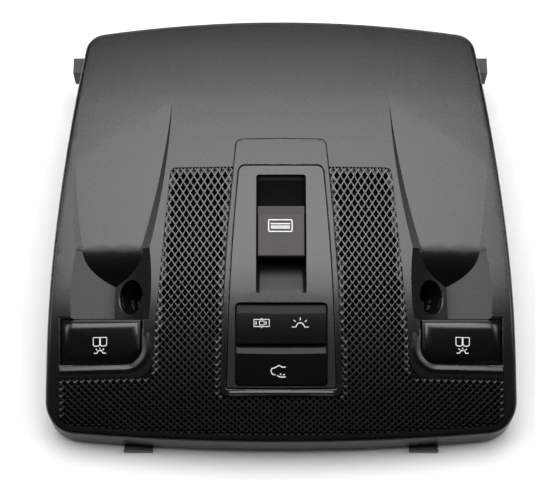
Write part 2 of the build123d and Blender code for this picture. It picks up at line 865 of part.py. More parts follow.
# Twin rocker button: tips to the left and right about a pin under its middle
rocker_plan = centre_cap_plan(1)
rocker_rib_plan = deck_box(
    rocker_rib_half_width, -divider_half_width - rocker_play, guide_rear - rocker_play
)
rocker_feet = [(-rocker_foot_x, rocker_middle), (rocker_foot_x, rocker_middle)]
rocker_foot_end = plunger_top + rocker_foot_room - key_board_depth
with BuildPart() as twin_rocker_button:
    add(button_cap(deck, rocker_plan, button_rise - plate_top, centre_rear_edge))
    add(centre_skirt(-divider_half_width, guide_rear, rocker_play))
    add(column(deck, rocker_rib_plan, -guide_depth, -cap_slab))
    add(column(deck, discs(rocker_feet, post_radius), rocker_foot_end, -cap_slab))
    add(column(rocker_axis, disc(rocker_pin_radius + running_gap), -clear, clear), mode=Mode.SUBTRACT)
twin_rocker_button.part.label = "twin_rocker_button"
export_step(twin_rocker_button.part, "parts/twin_rocker_button.step")

# Rocker pin: steel, held in the divider and the rear wall of the guide tube
with BuildPart() as rocker_pin:
    with BuildSketch(rocker_axis.offset(-divider_half_width / 2)):
        Circle(rocker_pin_radius)
    extrude(amount=guide_rear + guide_wall + divider_half_width / 2)
rocker_pin.part.label = "rocker_pin"
export_step(rocker_pin.part, "parts/rocker_pin.step")

# Rear light button: slides straight in, in front of the rocker
light_plan = centre_cap_plan(-1)
light_middle = [(0, -rocker_middle)]
centre_post_end = plunger_top - key_board_depth
with BuildPart() as rear_light_button:
    add(button_cap(deck, light_plan, button_rise - plate_top, -centre_gap / 2))
    add(centre_skirt(guide_front, -divider_half_width, guide_gap))
    add(column(deck, discs(light_middle, post_radius), centre_post_end, -cap_slab))
rear_light_button.part.label = "rear_light_button"
export_step(rear_light_button.part, "parts/rear_light_button.step")

# Reading buttons: one at each side, sliding in a guide of the bezel
side_post_end = plunger_top - side_board_depth
with BuildPart() as right_reading_button:
    add(button_cap(side_deck, side_plan(0), button_rise, side_button_length / 2))
    add(hollow_skirt(side_deck, side_plan(-skirt_inset), side_plan(-skirt_inset - cap_hollow_wall)))
    add(column(side_deck, disc(post_radius), side_post_end, -cap_slab))
right_reading_button.part.label = "right_reading_button"
export_step(right_reading_button.part, "parts/right_reading_button.step")
with BuildPart() as left_reading_button:
    mirror(right_reading_button.part, about=Plane.YZ)
left_reading_button.part.label = "left_reading_button"
export_step(left_reading_button.part, "parts/left_reading_button.step")

# Key board: sloping circuit board under the buttons
side_switch_y = board_plane.to_local_coords(side_deck.origin).Y
side_middles = [(-side_button_x, side_switch_y), (side_button_x, side_switch_y)]
switch_places = rocker_feet + light_middle + side_middles
with BuildPart() as key_board:
    with BuildSketch(board_plane):
        with Locations((0, (key_board_side_rear - key_board_front) / 2)):
            Rectangle(2 * key_board_half_width, key_board_side_rear + key_board_front)
        with Locations((0, (key_board_rear - key_board_front) / 2)):
            Rectangle(2 * key_board_middle_half_width, key_board_rear + key_board_front)
        with Locations(*key_boss_places):
            Circle(screw_radius + fit_gap, mode=Mode.SUBTRACT)
    extrude(amount=-board_thickness)
key_board.part.label = "key_board"
export_step(key_board.part, "parts/key_board.step")

# Push switches on the key board: a case with a well, and a plunger in each
with BuildPart() as switch_cases:
    with BuildSketch(board_plane):
        with Locations(*switch_places):
            Rectangle(switch_size, switch_size)
    extrude(amount=switch_height)
    with BuildSketch(board_plane.offset(switch_height)):
        add(discs(switch_places, plunger_radius + plunger_gap))
    extrude(amount=-switch_well_depth, mode=Mode.SUBTRACT)
switch_cases.part.label = "switch_cases"
export_step(switch_cases.part, "parts/switch_cases.step")


def plungers(places):
    """Plungers that stand out of the wells of the switches at some places."""
    return column(board_plane, discs(places, plunger_radius), switch_height - plunger_sink, plunger_top)


with BuildPart() as rocker_plungers:
    add(plungers(rocker_feet))
rocker_plungers.part.label = "rocker_plungers"
export_step(rocker_plungers.part, "parts/rocker_plungers.step")
with BuildPart() as rear_light_plunger:
    add(plungers(light_middle))
rear_light_plunger.part.label = "rear_light_plunger"
export_step(rear_light_plunger.part, "parts/rear_light_plunger.step")
with BuildPart() as right_reading_plunger:
    add(plungers(side_middles[1:]))
right_reading_plunger.part.label = "right_reading_plunger"
export_step(right_reading_plunger.part, "parts/right_reading_plunger.step")
with BuildPart() as left_reading_plunger:
    add(plungers(side_middles[:1]))
left_reading_plunger.part.label = "left_reading_plunger"
export_step(left_reading_plunger.part, "parts/left_reading_plunger.step")

# Lights that shine through the pictograms
with BuildPart() as icon_leds:
    with BuildSketch(board_plane):
        with Locations(*[(x + math.copysign(led_offset, -x), y) for x, y in switch_places]):
            Rectangle(led_length, led_width)
    extrude(amount=led_height)
icon_leds.part.label = "icon_leds"
export_step(icon_leds.part, "parts/icon_leds.step")


def screws(plane, places):
    """Screws driven up from a plane: head below it, shank above it."""
    with BuildPart(mode=Mode.PRIVATE) as group:
        add(column(plane, discs(places, screw_head_radius), -screw_head_height, 0))
        add(column(plane, discs(places, screw_radius), 0, board_thickness + pilot_depth - screw_room))
    return group.part


with BuildPart() as key_board_screws:
    add(screws(board_plane.offset(-board_thickness), key_boss_places))
key_board_screws.part.label = "key_board_screws"
export_step(key_board_screws.part, "parts/key_board_screws.step")

# Roof switch: a cap that rocks about a pin in a hollow trough
plate_height = {y: face_height(0, y) - plate_top for y in (slot_front_y, slot_rear_y)}
chord = Vector(0, slot_length, plate_height[slot_rear_y] - plate_height[slot_front_y])
trough_radius = (chord.length**2 / 4 + trough_depth**2) / (2 * trough_depth)
chord_up = Vector(0, -chord.Z, chord.Y).normalized()
chord_middle = Vector(0, slot_front_y, plate_height[slot_front_y]) + chord * 0.5
trough_centre = chord_middle + chord_up * (trough_radius - trough_depth)
cap_rear_y = slot_rear_y - cap_setback
cap_front_y = cap_rear_y - cap_length
pivot_y = (cap_rear_y + cap_front_y) / 2
pivot_z = face_height(0, pivot_y) - pivot_depth
lever_bottom = pivot_z - stem_half_length
cradle_half_width = slot_half_width + trough_wall


def across(radius, centre, half_width):
    """Round bar along X."""
    with BuildPart(mode=Mode.PRIVATE) as bar:
        with BuildSketch(Plane.YZ):
            with Locations((centre.Y, centre.Z)):
                Circle(radius)
        extrude(amount=half_width, both=True)
    return bar.part


def block(x, y, z):
    """Box between two places on each axis."""
    with BuildPart(mode=Mode.PRIVATE) as box:
        with Locations(((x[0] + x[1]) / 2, (y[0] + y[1]) / 2, (z[0] + z[1]) / 2)):
            Box(x[1] - x[0], y[1] - y[0], z[1] - z[0])
    return box.part


pivot = Vector(0, pivot_y, pivot_z)
ear_inner = stem_half_width + stem_gap
ear_outer = ear_inner + ear_thickness
slot_span = (slot_front_y, slot_rear_y)
cradle_span = (slot_front_y - trough_wall, slot_rear_y + trough_wall)
ear_span = (pivot_y - ear_half_length, pivot_y + ear_half_length)
stem_reach = stem_half_length + lever_room
upward = (main_board_top, main_board_top + 2 * clear)
with BuildPart() as inner_space:
    add(block((-slot_half_width, slot_half_width), slot_span, upward))
    add(across(trough_radius + trough_skin, trough_centre, cradle_half_width), mode=Mode.SUBTRACT)
with BuildPart() as roof_switch_cradle:
    add(block((-cradle_half_width, cradle_half_width), cradle_span, upward))
    add(lowered(plate_bottom + guide_gap), mode=Mode.INTERSECT)
    add(inner_space.part, mode=Mode.SUBTRACT)
    for span in ((-ear_outer, -ear_inner), (ear_inner, ear_outer)):
        add(block(span, ear_span, (main_board_top, trough_centre.Z - trough_radius)))
    add(across(trough_radius, trough_centre, slot_half_width), mode=Mode.SUBTRACT)
    stem_window = (pivot_y - stem_reach, pivot_y + stem_reach)
    add(block((-ear_inner, ear_inner), stem_window, (pivot_z, pivot_z + clear)), mode=Mode.SUBTRACT)
    add(across(pivot_radius + seat_gap / 2, pivot, clear), mode=Mode.SUBTRACT)
roof_switch_cradle.part.label = "roof_switch_cradle"
export_step(roof_switch_cradle.part, "parts/roof_switch_cradle.step")

ridge_y = cap_rear_y - cap_bevel_run
cap_top = {y: face_height(0, y) - plate_top + cap_rise for y in (cap_rear_y, ridge_y, cap_front_y)}
with BuildPart() as roof_switch_cap:
    with BuildSketch(Plane.YZ):
        with BuildLine():
            Polyline(
                (cap_rear_y, cap_top[cap_rear_y] - cap_bevel_drop),
                (ridge_y, cap_top[ridge_y]),
                (cap_front_y, cap_top[cap_front_y]),
                (cap_front_y + cap_lean, cap_top[cap_front_y] - cap_thickness),
                (cap_rear_y - cap_lean, cap_top[cap_rear_y] - cap_thickness),
                close=True,
            )
        make_face()
    extrude(amount=cap_half_width, both=True)
    fillet(roof_switch_cap.faces().group_by(Axis.Z)[-1].edges(), cap_edge_radius)
    stem_top = cap_top[cap_front_y] - cap_thickness / 2
    add(
        block(
            (-stem_half_width, stem_half_width),
            (pivot_y - stem_half_length, pivot_y + stem_half_length),
            (lever_bottom, stem_top),
        )
    )
    add(
        block(
            (-lever_half_width, lever_half_width),
            (pivot_y - lever_half_length, pivot_y + lever_half_length),
            (lever_bottom, lever_bottom + lever_thickness),
        )
    )
    add(across(pivot_radius + running_gap, pivot, clear), mode=Mode.SUBTRACT)
roof_switch_cap.part.label = "roof_switch_cap"
export_step(roof_switch_cap.part, "parts/roof_switch_cap.step")

with BuildPart() as roof_switch_pin:
    add(across(pivot_radius, pivot, ear_outer + stem_gap))
roof_switch_pin.part.label = "roof_switch_pin"
export_step(roof_switch_pin.part, "parts/roof_switch_pin.step")

# Contacts under the two ends of the roof switch lever
lever_dip = lever_half_length * math.sin(math.radians(rocker_swing))
contact_top = lever_bottom - lever_dip - stem_gap
contact_y = lever_half_length - post_radius
contact_places = [(0, pivot_y - contact_y), (0, pivot_y + contact_y)]
with BuildPart() as roof_switch_contacts:
    with BuildSketch(main_plane):
        with Locations(*contact_places):
            Rectangle(switch_size, switch_size)
    extrude(amount=contact_top - plunger_rise - main_board_top)
    add(column(main_plane, discs(contact_places, plunger_radius), 0, contact_top - main_board_top))
roof_switch_contacts.part.label = "roof_switch_contacts"
export_step(roof_switch_contacts.part, "parts/roof_switch_contacts.step")

# Main board, flat under the roof switch, with its chip, capacitors and coil
with BuildPart() as main_board:
    with BuildSketch(main_plane):
        with Locations((0, (main_board_front_y + main_board_rear_y) / 2)):
            Rectangle(2 * main_board_half_width, main_board_rear_y - main_board_front_y)
        with Locations(*main_boss_places):
            Circle(screw_radius + fit_gap, mode=Mode.SUBTRACT)
    extrude(amount=-board_thickness)
main_board.part.label = "main_board"
export_step(main_board.part, "parts/main_board.step")

with BuildPart() as main_board_screws:
    add(screws(main_plane.offset(-board_thickness), main_boss_places))
main_board_screws.part.label = "main_board_screws"
export_step(main_board_screws.part, "parts/main_board_screws.step")

with BuildPart() as controller_chip:
    with BuildSketch(main_plane):
        with Locations((-chip_x, chip_y)):
            Rectangle(chip_size, chip_size)
    extrude(amount=chip_height)
    chamfer(controller_chip.faces().sort_by(Axis.Z)[-1].edges(), chip_height / 4)
controller_chip.part.label = "controller_chip"
export_step(controller_chip.part, "parts/controller_chip.step")

capacitor_places = [(chip_x, chip_y), (chip_x, chip_y + capacitor_pitch)]
with BuildPart() as power_capacitors:
    add(column(main_plane, discs(capacitor_places, capacitor_radius), 0, capacitor_height))
    fillet(power_capacitors.edges().group_by(Axis.Z)[-1], capacitor_radius / 5)
power_capacitors.part.label = "power_capacitors"
export_step(power_capacitors.part, "parts/power_capacitors.step")

with BuildPart() as power_coil:
    with BuildSketch(main_plane):
        with Locations((-chip_x, chip_y + coil_setback)):
            RectangleRounded(chip_size, chip_size, chip_size / 5)
    extrude(amount=coil_height)
power_coil.part.label = "power_coil"
export_step(power_coil.part, "parts/power_coil.step")

# Harness socket at the rear edge of the main board, with its pins
socket_mouth_y = panel_rear_y - wall - housing_gap - housing_wall / 2
socket_rear_y = main_board_rear_y - socket_seat
socket_top = main_board_top + socket_height
socket_inner = (main_board_top + socket_wall, socket_top - socket_wall)
socket_span = (-socket_half_width, socket_half_width)
socket_hollow = (socket_wall - socket_half_width, socket_half_width - socket_wall)
socket_back_y = socket_rear_y + socket_back
with BuildPart() as harness_socket:
    add(block(socket_span, (socket_rear_y, socket_mouth_y), (main_board_top, socket_top)))
    add(block(socket_hollow, (socket_back_y, socket_mouth_y), socket_inner), mode=Mode.SUBTRACT)
harness_socket.part.label = "harness_socket"
export_step(harness_socket.part, "parts/harness_socket.step")
pin_plane = Plane(
    origin=(0, socket_back_y, (socket_inner[0] + socket_inner[1]) / 2), x_dir=(1, 0, 0), z_dir=(0, 1, 0)
)
with BuildPart() as socket_pins:
    with BuildSketch(pin_plane):
        with GridLocations(pin_pitch, pin_pitch, pin_columns, 2):
            Rectangle(pin_size, pin_size)
    extrude(amount=pin_length)
socket_pins.part.label = "socket_pins"
export_step(socket_pins.part, "parts/socket_pins.step")

# Reading lamps: barrel behind the pocket's wall, lens in it, board and light at its end
barrel_top = lamp_plane.offset(-wall)
barrel_end = lamp_plane.offset(-wall - barrel_length)
with BuildPart() as right_lamp_barrel:
    with BuildSketch(barrel_top):
        add(lamp_plan(barrel_wall))
        add(lamp_plan(0), mode=Mode.SUBTRACT)
    extrude(amount=-barrel_length)
right_lamp_barrel.part.label = "right_lamp_barrel"
export_step(right_lamp_barrel.part, "parts/right_lamp_barrel.step")
with BuildPart() as right_lamp_lens:
    add(column(barrel_top, lamp_plan(-lens_gap), -lens_setback - lens_thickness, -lens_setback))
right_lamp_lens.part.label = "right_lamp_lens"
export_step(right_lamp_lens.part, "parts/right_lamp_lens.step")
with BuildPart() as right_lamp_board:
    add(column(barrel_end, lamp_plan(barrel_wall), -lamp_board_thickness, 0))
right_lamp_board.part.label = "right_lamp_board"
export_step(right_lamp_board.part, "parts/right_lamp_board.step")
with BuildPart() as right_lamp_led:
    with BuildSketch(barrel_end):
        Rectangle(lamp_led_size, lamp_led_size)
    extrude(amount=lamp_led_height)
right_lamp_led.part.label = "right_lamp_led"
export_step(right_lamp_led.part, "parts/right_lamp_led.step")
with BuildPart() as left_lamp_barrel:
    mirror(right_lamp_barrel.part, about=Plane.YZ)
left_lamp_barrel.part.label = "left_lamp_barrel"
export_step(left_lamp_barrel.part, "parts/left_lamp_barrel.step")
with BuildPart() as left_lamp_lens:
    mirror(right_lamp_lens.part, about=Plane.YZ)
left_lamp_lens.part.label = "left_lamp_lens"
export_step(left_lamp_lens.part, "parts/left_lamp_lens.step")
with BuildPart() as left_lamp_board:
    mirror(right_lamp_board.part, about=Plane.YZ)
left_lamp_board.part.label = "left_lamp_board"
export_step(left_lamp_board.part, "parts/left_lamp_board.step")
with BuildPart() as left_lamp_led:
    mirror(right_lamp_led.part, about=Plane.YZ)
left_lamp_led.part.label = "left_lamp_led"
export_step(left_lamp_led.part, "parts/left_lamp_led.step")

# Microphones: a capsule in a rubber boot under each grille column
with BuildPart() as right_microphone_boot:
    add(column(microphone_plane, discs(microphones[1:], boot_radius), -boot_height, 0))
    add(
        column(microphone_plane, discs(microphones[1:], microphone_radius + seat_gap), -microphone_height, 0),
        mode=Mode.SUBTRACT,
    )
right_microphone_boot.part.label = "right_microphone_boot"
export_step(right_microphone_boot.part, "parts/right_microphone_boot.step")
with BuildPart() as right_microphone:
    add(column(microphone_plane, discs(microphones[1:], microphone_radius), -microphone_height, -seat_gap))
right_microphone.part.label = "right_microphone"
export_step(right_microphone.part, "parts/right_microphone.step")
with BuildPart() as left_microphone_boot:
    mirror(right_microphone_boot.part, about=Plane.YZ)
left_microphone_boot.part.label = "left_microphone_boot"
export_step(left_microphone_boot.part, "parts/left_microphone_boot.step")
with BuildPart() as left_microphone:
    mirror(right_microphone.part, about=Plane.YZ)
left_microphone.part.label = "left_microphone"
export_step(left_microphone.part, "parts/left_microphone.step")

# Rear housing: a tub that laps inside the skirt, with screw towers, side tabs and clip pads
housing_inset = wall + housing_gap
tab_rear_y = panel_rear_y - tab_setback
tab_span = (tab_rear_y - tab_length, tab_rear_y)
tab_x = rear_half_width + tab_reach
tab_top = face_height(tab_x, tab_rear_y) - skirt_height - tab_gap
clip_seat_y = panel_front_y + clip_seat_margin
pad_half_width = clip_half_width + clip_thickness
socket_window = socket_half_width + housing_gap
with BuildPart() as housing_hollow:
    with BuildSketch(Plane.XY.offset(housing_wall)):
        add(panel_outline(housing_inset + housing_wall))
    extrude(amount=2 * clear)
with BuildPart() as rear_housing:
    extrude(panel_outline(housing_inset), amount=2 * clear)
    add(lowered(skirt_height - housing_lap), mode=Mode.INTERSECT)
    for side in (-1, 1):
        tab_x_span = sorted((side * (rear_half_width - clear), side * tab_x))
        pad_x_span = (side * clip_x - pad_half_width, side * clip_x + pad_half_width)
        add(block(tab_x_span, tab_span, (tab_top - tab_height, tab_top)))
        add(block(pad_x_span, (clip_seat_y, clip_seat_y + clear), (0, clip_height)))
    add(housing_hollow.part, mode=Mode.SUBTRACT)
    for places, seat in ((rear_posts, rear_seat), (front_posts, front_seat)):
        add(column(Plane.XY, discs(places, tower_radius), 0, seat))
        add(column(Plane.XY, discs(places, screw_radius + fit_gap), 0, seat), mode=Mode.SUBTRACT)
        head_hole = discs(places, screw_head_radius + fit_gap)
        add(column(Plane.XY, head_hole, 0, seat - tower_roof), mode=Mode.SUBTRACT)
    add(
        block(
            (-socket_window, socket_window),
            (socket_rear_y, panel_rear_y + clear),
            (main_board_top - housing_gap, socket_top + housing_gap),
        ),
        mode=Mode.SUBTRACT,
    )
rear_housing.part.label = "rear_housing"
export_step(rear_housing.part, "parts/rear_housing.step")

with BuildPart() as housing_screws:
    for places, seat in ((rear_posts, rear_seat), (front_posts, front_seat)):
        head_top = Plane.XY.offset(seat - tower_roof)
        add(column(head_top, discs(places, screw_head_radius), -screw_head_height, 0))
        add(column(head_top, discs(places, screw_radius), 0, tower_roof + pilot_depth - screw_room))
housing_screws.part.label = "housing_screws"
export_step(housing_screws.part, "parts/housing_screws.step")

# Front clips: bent spring strip on the pads under the front edge
clip_nose_y = clip_seat_y - clip_reach
with BuildPart() as right_front_clip:
    with BuildSketch(Plane.YZ.offset(clip_x - clip_half_width)):
        with BuildLine():
            Polyline(
                (clip_seat_y, clip_floor),
                (clip_seat_y, clip_height - clip_floor),
                (clip_seat_y - clip_thickness, clip_height - clip_floor),
                (clip_seat_y - clip_thickness, clip_floor + clip_thickness),
                (clip_nose_y + clip_thickness, clip_floor + clip_thickness),
                (clip_nose_y + clip_thickness, clip_nose_height),
                (clip_nose_y, clip_nose_height),
                (clip_nose_y, clip_floor),
                close=True,
            )
        make_face()
    extrude(amount=2 * clip_half_width)
right_front_clip.part.label = "right_front_clip"
export_step(right_front_clip.part, "parts/right_front_clip.step")
with BuildPart() as left_front_clip:
    mirror(right_front_clip.part, about=Plane.YZ)
left_front_clip.part.label = "left_front_clip"
export_step(left_front_clip.part, "parts/left_front_clip.step")
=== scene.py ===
import math

import bpy
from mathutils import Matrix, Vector


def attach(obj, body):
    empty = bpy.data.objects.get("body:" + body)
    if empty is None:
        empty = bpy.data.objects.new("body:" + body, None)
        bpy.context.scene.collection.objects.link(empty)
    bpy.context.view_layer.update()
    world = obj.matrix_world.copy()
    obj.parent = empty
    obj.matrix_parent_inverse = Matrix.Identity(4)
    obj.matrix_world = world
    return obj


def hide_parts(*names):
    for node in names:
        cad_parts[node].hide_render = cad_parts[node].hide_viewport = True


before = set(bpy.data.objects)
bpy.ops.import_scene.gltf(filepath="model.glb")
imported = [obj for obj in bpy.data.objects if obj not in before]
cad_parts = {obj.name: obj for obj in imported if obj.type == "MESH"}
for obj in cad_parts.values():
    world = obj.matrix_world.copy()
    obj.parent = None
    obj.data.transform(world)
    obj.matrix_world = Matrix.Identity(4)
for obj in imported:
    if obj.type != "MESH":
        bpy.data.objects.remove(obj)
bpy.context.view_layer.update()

# Rear housing: the black back cover that closes the unit, moulded in a stiff glass-filled plastic.
# Screws hold it to the bosses of the bezel, and its two tabs stick out at the rear sides.


class Wire:
    """An output of a material's nodes. Sums on it add Math nodes, and node() adds any other one."""

    def __init__(self, socket):
        self.socket = socket

    def node(self, kind, settings, inputs, output=0):
        """Adds a node, sets it up, joins its inputs and returns one of its outputs."""
        tree = self.socket.id_data
        made = tree.nodes.new(kind)
        for name, value in settings.items():
            setattr(made, name, value)
        for name, value in inputs.items():
            if isinstance(value, Wire):
                tree.links.new(value.socket, made.inputs[name])
            else:
                made.inputs[name].default_value = value
        return Wire(made.outputs[output])

    def sum(self, operation, first, second):
        return self.node("ShaderNodeMath", {"operation": operation}, {0: first, 1: second})

    def __add__(self, other):
        return self.sum("ADD", self, other)

    def __radd__(self, other):
        return self.sum("ADD", other, self)

    def __rsub__(self, other):
        return self.sum("SUBTRACT", other, self)

    def __rmul__(self, other):
        return self.sum("MULTIPLY", other, self)

    def axis(self, number):
        """One coordinate of a place: 0 for x, 1 for y and 2 for z."""
        return self.node("ShaderNodeSeparateXYZ", {}, {0: self}, number)

    def noise(self, size, detail):
        """Soft random patches of about that size in metres, from 0 to 1."""
        return self.node("ShaderNodeTexNoise", {}, {"Vector": self, "Scale": 1 / size, "Detail": detail})

    def between(self, low, high):
        """0 below low, 1 above high and a soft step between them."""
        settings = {"interpolation_type": "SMOOTHSTEP"}
        return self.node("ShaderNodeMapRange", settings, {"Value": self, "From Min": low, "From Max": high})

    def blend(self, first, second):
        """A colour that goes from the first to the second as this value goes from 0 to 1."""
        return self.node("ShaderNodeMix", {"data_type": "RGBA"}, {0: self, 6: first, 7: second}, 2)

    def relief(self, depth):
        """A normal for this height, which is depth metres at 1."""
        return self.node("ShaderNodeBump", {}, {"Height": self, "Distance": depth})


class Finish:
    """A material: plain values are set on its shader, and varying ones are joined to it."""

    def __init__(self, name, **values):
        self.material = bpy.data.materials.new(name)
        self.material.use_nodes = True
        nodes = self.material.node_tree.nodes
        self.shader = nodes["Principled BSDF"]
        self.place = Wire(nodes.new("ShaderNodeTexCoord").outputs["Object"])
        self.set(**values)

    def set(self, **values):
        """Sets inputs of the shader by their names, in small letters and with underscores."""
        for name, value in values.items():
            socket = self.shader.inputs[name.replace("_", " ").title().replace("Ior", "IOR")]
            if isinstance(value, Wire):
                self.material.node_tree.links.new(value.socket, socket)
            else:
                socket.default_value = value


def grey(level, warmth=0.0):
    """A grey colour, tinted toward yellow by a warmth above 0."""
    return (level * (1 + warmth), level, level * (1 - warmth), 1)


def moulded(name, dark, light, roughness, grain, depth, **values):
    """Moulded plastic: an even spark-eroded grain, with faint patches in its colour and sheen."""
    finish = Finish(name, **values)
    fine = finish.place.noise(grain, 3)
    patch = finish.place.noise(0.02, 2)
    speck = finish.place.noise(grain * 2.2, 1)
    tone = 0.5 * patch + 0.5 * speck
    finish.set(
        base_color=tone.between(0.3, 0.7).blend(dark, light),
        roughness=roughness - 0.06 + 0.12 * fine,
        normal=fine.relief(depth),
    )
    return finish.material


def finished(piece, material):
    """Gives a piece one material in place of any it has."""
    piece.data.materials.clear()
    piece.data.materials.append(material)


def smooth_copy(node, body, material):
    """A copy of a node's mesh with its triangles joined and its curved faces shaded smoothly."""
    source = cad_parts[node]
    piece = bpy.data.objects.new(node + "_shell", source.data.copy())
    bpy.context.scene.collection.objects.link(piece)
    bpy.ops.object.select_all(action="DESELECT")
    piece.select_set(True)
    bpy.context.view_layer.objects.active = piece
    bpy.ops.object.mode_set(mode="EDIT")
    bpy.ops.mesh.select_all(action="SELECT")
    bpy.ops.mesh.remove_doubles(threshold=2e-6)
    bpy.ops.object.mode_set(mode="OBJECT")
    bpy.ops.mesh.customdata_custom_splitnormals_clear()
    bpy.ops.object.shade_smooth_by_angle(angle=math.radians(18))
    bpy.ops.object.modifier_add(type="WEIGHTED_NORMAL")
    piece.modifiers[-1].keep_sharp = True
    bpy.ops.object.modifier_apply(modifier=piece.modifiers[-1].name)
    finished(piece, material)
    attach(piece, body)
    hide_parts(node)
    return piece


housing_plastic = moulded(
    "housing_plastic", dark=grey(0.008), light=grey(0.012), roughness=0.48, grain=0.0006, depth=0.00002
)
smooth_copy("rear_housing", "unit", housing_plastic)

# Inner electronics: the main board, the key board and the parts on them. The boards are screwed to
# posts inside the shell, and the parts are soldered to them.
solder_mask = Finish("solder_mask", roughness=0.35, coat_weight=0.3)
weave = solder_mask.place.noise(0.0012, 2)
tracks = solder_mask.place.node("ShaderNodeTexBrick", {}, {"Vector": solder_mask.place, "Scale": 160.0}, 1)
copper_below = (0.6 * tracks + 0.4 * weave).between(0.1, 0.9)
solder_mask.set(
    base_color=copper_below.blend((0.004, 0.05, 0.018, 1), (0.012, 0.11, 0.04, 1)),
    normal=tracks.relief(0.00003),
)
for board in ("main_board", "key_board", "left_lamp_board", "right_lamp_board"):
    finished(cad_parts[board], solder_mask.material)

chip_plastic = moulded(
    "chip_plastic", dark=grey(0.010), light=grey(0.016), roughness=0.55, grain=0.0004, depth=0.00001
)
for part in ("controller_chip", "power_coil", "switch_cases", "harness_socket"):
    finished(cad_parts[part], chip_plastic)

can_metal = Finish("can_metal", metallic=1.0)
drawn = can_metal.place.noise(0.0008, 3)
can_metal.set(
    base_color=drawn.blend((0.55, 0.55, 0.56, 1), (0.70, 0.70, 0.71, 1)),
    roughness=0.28 + 0.15 * drawn,
)
for part in ("power_capacitors", "left_microphone", "right_microphone"):
    finished(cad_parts[part], can_metal.material)

brass = Finish("contact_brass", metallic=1.0)
tarnish = brass.place.noise(0.003, 3)
brass.set(
    base_color=tarnish.blend((0.66, 0.47, 0.20, 1), (0.50, 0.33, 0.13, 1)),
    roughness=0.25 + 0.2 * tarnish,
)
for part in ("socket_pins", "roof_switch_contacts"):
    finished(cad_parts[part], brass.material)

rubber = moulded(
    "boot_rubber", dark=grey(0.012), light=grey(0.018), roughness=0.75, grain=0.0005, depth=0.00002
)
for part in ("left_microphone_boot", "right_microphone_boot"):
    finished(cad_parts[part], rubber)

plunger_plastic = moulded(
    "plunger_white", dark=grey(0.62, 0.02), light=grey(0.70, 0.02), roughness=0.45, grain=0.0006,
    depth=0.00001,
)
for part in ("rear_light_plunger", "left_reading_plunger", "right_reading_plunger", "rocker_plungers"):
    finished(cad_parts[part], plunger_plastic)

led_resin = Finish("led_resin", coat_weight=0.2)
phosphor = led_resin.place.noise(0.0009, 2)
led_resin.set(
    base_color=phosphor.blend((0.80, 0.76, 0.50, 1), (0.86, 0.84, 0.70, 1)),
    roughness=0.3 + 0.1 * phosphor,
)
for part in ("icon_leds", "left_lamp_led", "right_lamp_led"):
    finished(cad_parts[part], led_resin.material)

# Steel parts: zinc-plated screws, the two hinge pins and the blackened spring clips bent from strip.
# The screws go into the bosses, and each clip sits on the front wall of the housing.
steel = Finish("plated_steel", metallic=1.0)
streak = steel.place.noise(0.0006, 4)
cloud = steel.place.noise(0.006, 2)
steel.set(
    base_color=cloud.blend((0.42, 0.42, 0.43, 1), (0.52, 0.52, 0.52, 1)),
    roughness=0.30 + 0.18 * streak,
    normal=streak.relief(0.000004),
)
for part in ("key_board_screws", "main_board_screws", "housing_screws", "roof_switch_pin", "rocker_pin"):
    finished(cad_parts[part], steel.material)
clip_steel = moulded(
    "blackened_steel", dark=grey(0.006), light=grey(0.010), roughness=0.4, grain=0.0008, depth=0.000008
)
for clip in ("left_front_clip", "right_front_clip"):
    finished(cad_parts[clip], clip_steel)

# Reading lamps: a black barrel behind each oval hole of the face, with a clear lens in its mouth that is
# tinted dark as painted shade.
# The barrel is pushed into the lamp hole from behind and carries a small board with one LED.
barrel_plastic = moulded(
    "barrel_plastic", dark=grey(0.001), light=grey(0.002), roughness=0.6, grain=0.0006, depth=0.00001,
    specular_ior_level=0.12,
)
for barrel in ("left_lamp_barrel", "right_lamp_barrel"):
    smooth_copy(barrel, "unit", barrel_plastic)
shade_tinted_lens = Finish("clear_lens", ior=1.49, transmission_weight=1.0, specular_ior_level=0.1)
ripple = shade_tinted_lens.place.noise(0.0015, 1)
# Painted shade: the lens is tinted dark so the hole behind it looks black.
shade_tinted_lens.set(
    base_color=ripple.blend(grey(0.05), grey(0.07)),
    roughness=0.03 + 0.05 * ripple,
    normal=ripple.relief(0.00002),
)
for lens in ("left_lamp_lens", "right_lamp_lens"):
    smooth_copy(lens, "unit", shade_tinted_lens.material)

# Front bezel: the large moulded face with its skirt, two scoops and the raised centre frame.
# It is one moulding in charcoal plastic with a fine even grain, and the screws of the rear housing go into
# the bosses on its inside.
# Its faces that look forward along the front edge are painted darker and less shiny, as painted shade.
bezel_plastic = moulded(
    "bezel_plastic", dark=grey(0.0018, -0.02), light=grey(0.003, -0.02), roughness=0.28, grain=0.0005,
    depth=0.000008, specular_tint=(0.94, 1.0, 0.985, 1),
)
# Painted shade: a darker, less shiny copy of the bezel plastic for the forward-facing faces near the front
# edge.
front_shade_plastic = moulded(
    "bezel_front_painted_shade", dark=grey(0.001, -0.02), light=grey(0.0018, -0.02), roughness=0.28, grain=0.0005,
    depth=0.000008, specular_ior_level=0.1,
)
bezel = smooth_copy("front_bezel", "unit", bezel_plastic)
bezel.data.materials.append(front_shade_plastic)
# The forward-facing faces near the front get the painted shade material.
for polygon in bezel.data.polygons:
    faces_front = polygon.normal.y < -0.6
    near_front = polygon.center.y < -0.08
    polygon.material_index = 1 if faces_front and near_front else 0

front_slope = math.radians(22)
slope_rear = -0.0578
bend_radius = 0.185


def arc_height(y, radius, middle_y, middle_z):
    """Height of an arc over the y axis."""
    return middle_z + math.sqrt(radius**2 - (y - middle_y) ** 2)


def face_height(x, y):
    """Height of the unit's face above its back: a front slope, a bend, a flat crown and a sideways crown."""
    if y < slope_rear:
        middle = 0.036436 + (y - slope_rear) * math.tan(front_slope)
    elif y < -0.004622:
        middle = arc_height(y, radius=bend_radius, middle_y=0.011502, middle_z=-0.135093)
    else:
        middle = arc_height(y, radius=0.836, middle_y=0.06824, middle_z=-0.783616)
    side_radius = 1
    return math.sqrt((side_radius + middle) ** 2 - x**2) - side_radius


